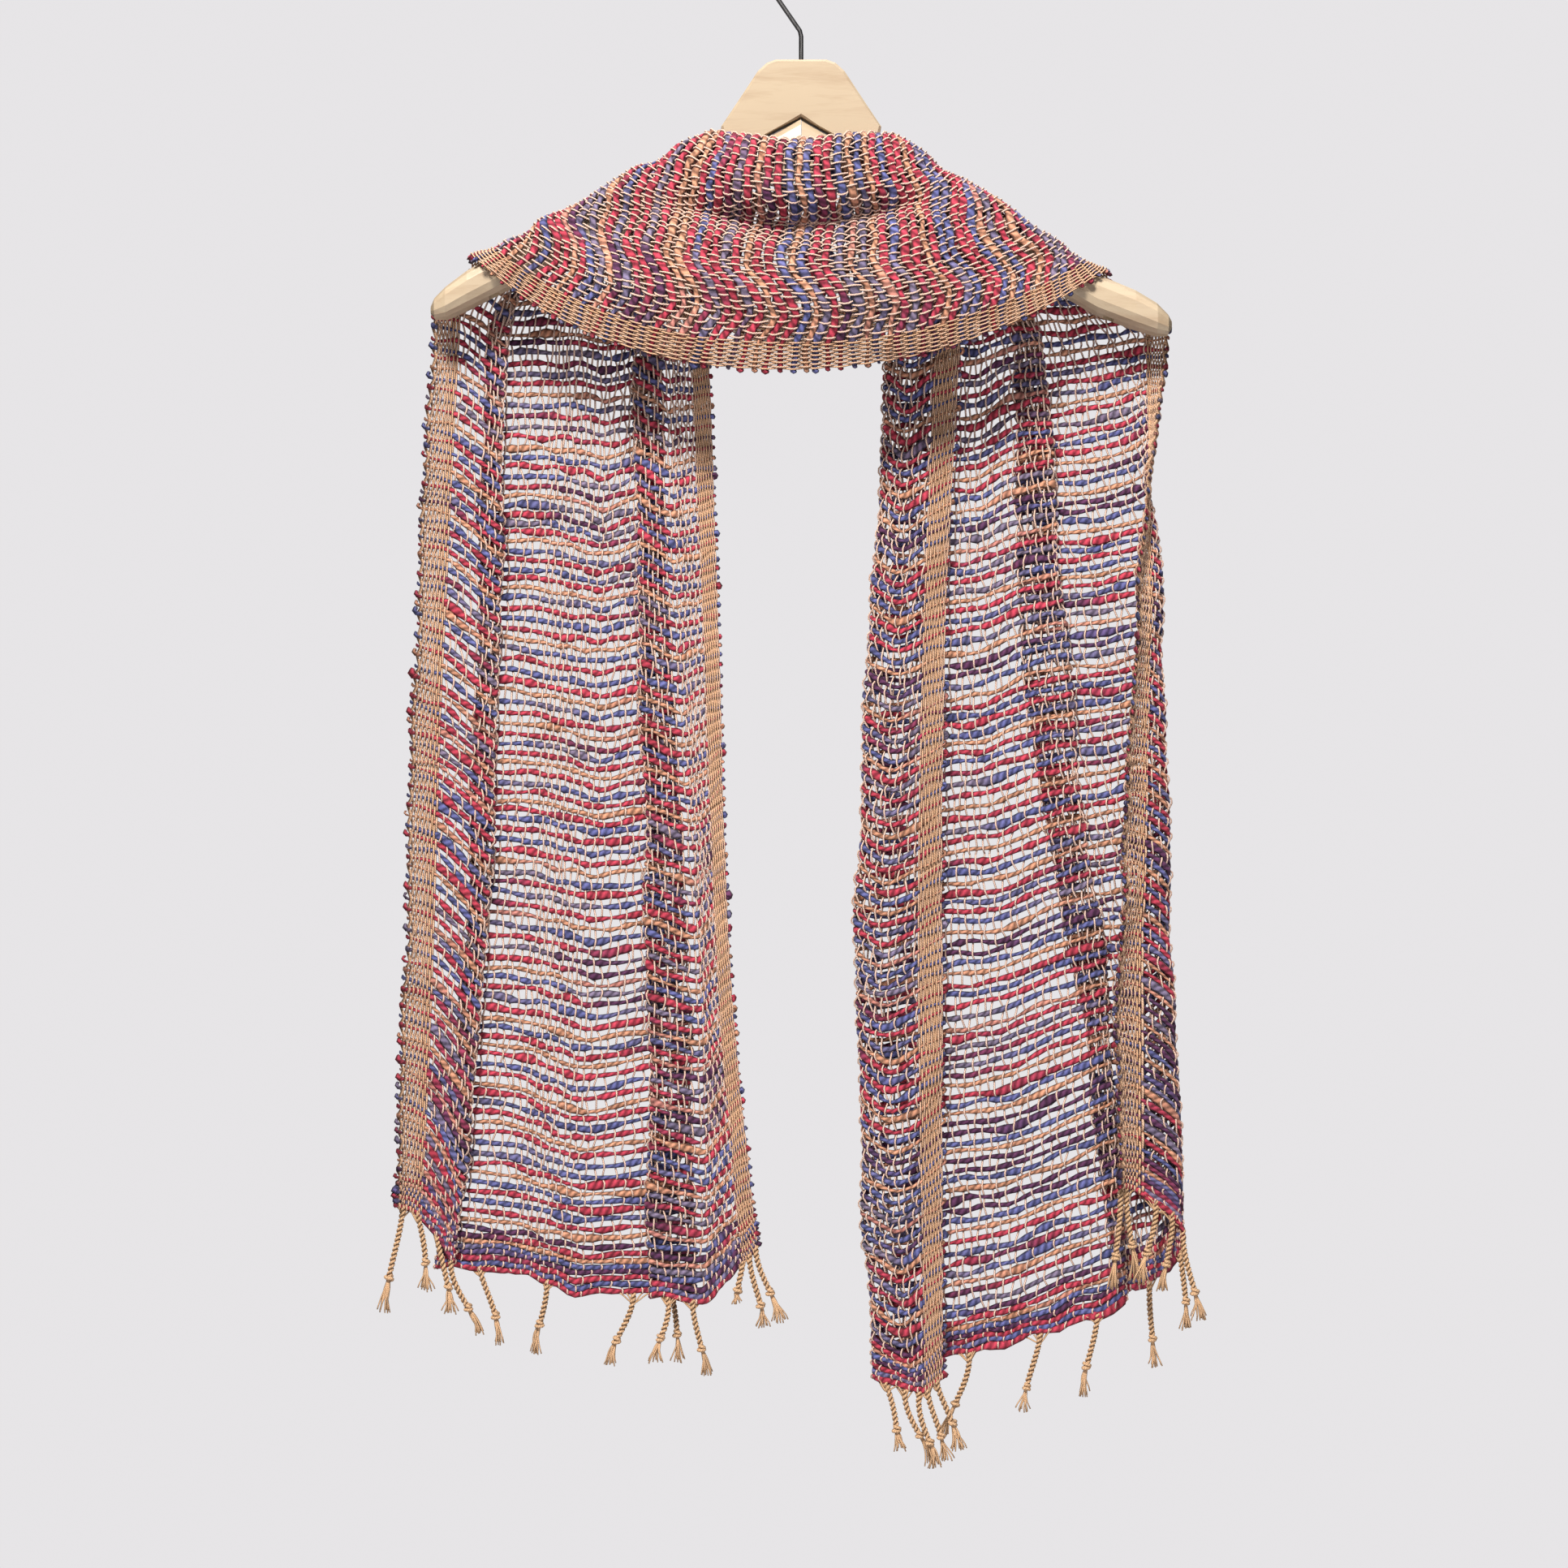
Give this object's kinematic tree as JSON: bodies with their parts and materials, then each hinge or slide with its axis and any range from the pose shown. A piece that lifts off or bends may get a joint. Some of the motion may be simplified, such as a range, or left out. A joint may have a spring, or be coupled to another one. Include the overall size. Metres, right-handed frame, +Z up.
{
  "type": "rebozo shawl on a wooden hanger",
  "caption": "Open-weave cotton shawl draped over a wooden hanger: a rolled cowl swag in front, both pleated ends hanging behind the arms, knotted cord fringe, wire hook.",
  "frame": {"origin": "the top of the inside of the wire hook, where it rests on its peg or rail", "axes": "+Z up, -Y the front that the swag faces, +X the wearer-free viewer's right"},
  "size_m": [0.5055, 0.0891, 0.9426],
  "materials": {
    "cloth": "open slub-cotton weave, matte",
    "fringe": "twisted cotton cord, matte",
    "wood": "smooth pale wood, thin satin lacquer",
    "steel": "bright plated wire"
  },
  "bodies": {
    "root": {"shawl_front_swag": "cloth", "shawl_tail_left": "cloth", "shawl_tail_right": "cloth", "fringe_left": "fringe", "fringe_right": "fringe", "hanger_crown": "wood", "hanger_arm_left": "wood", "hanger_arm_right": "wood", "hanger_hook": "steel"}
  },
  "joints": []
}
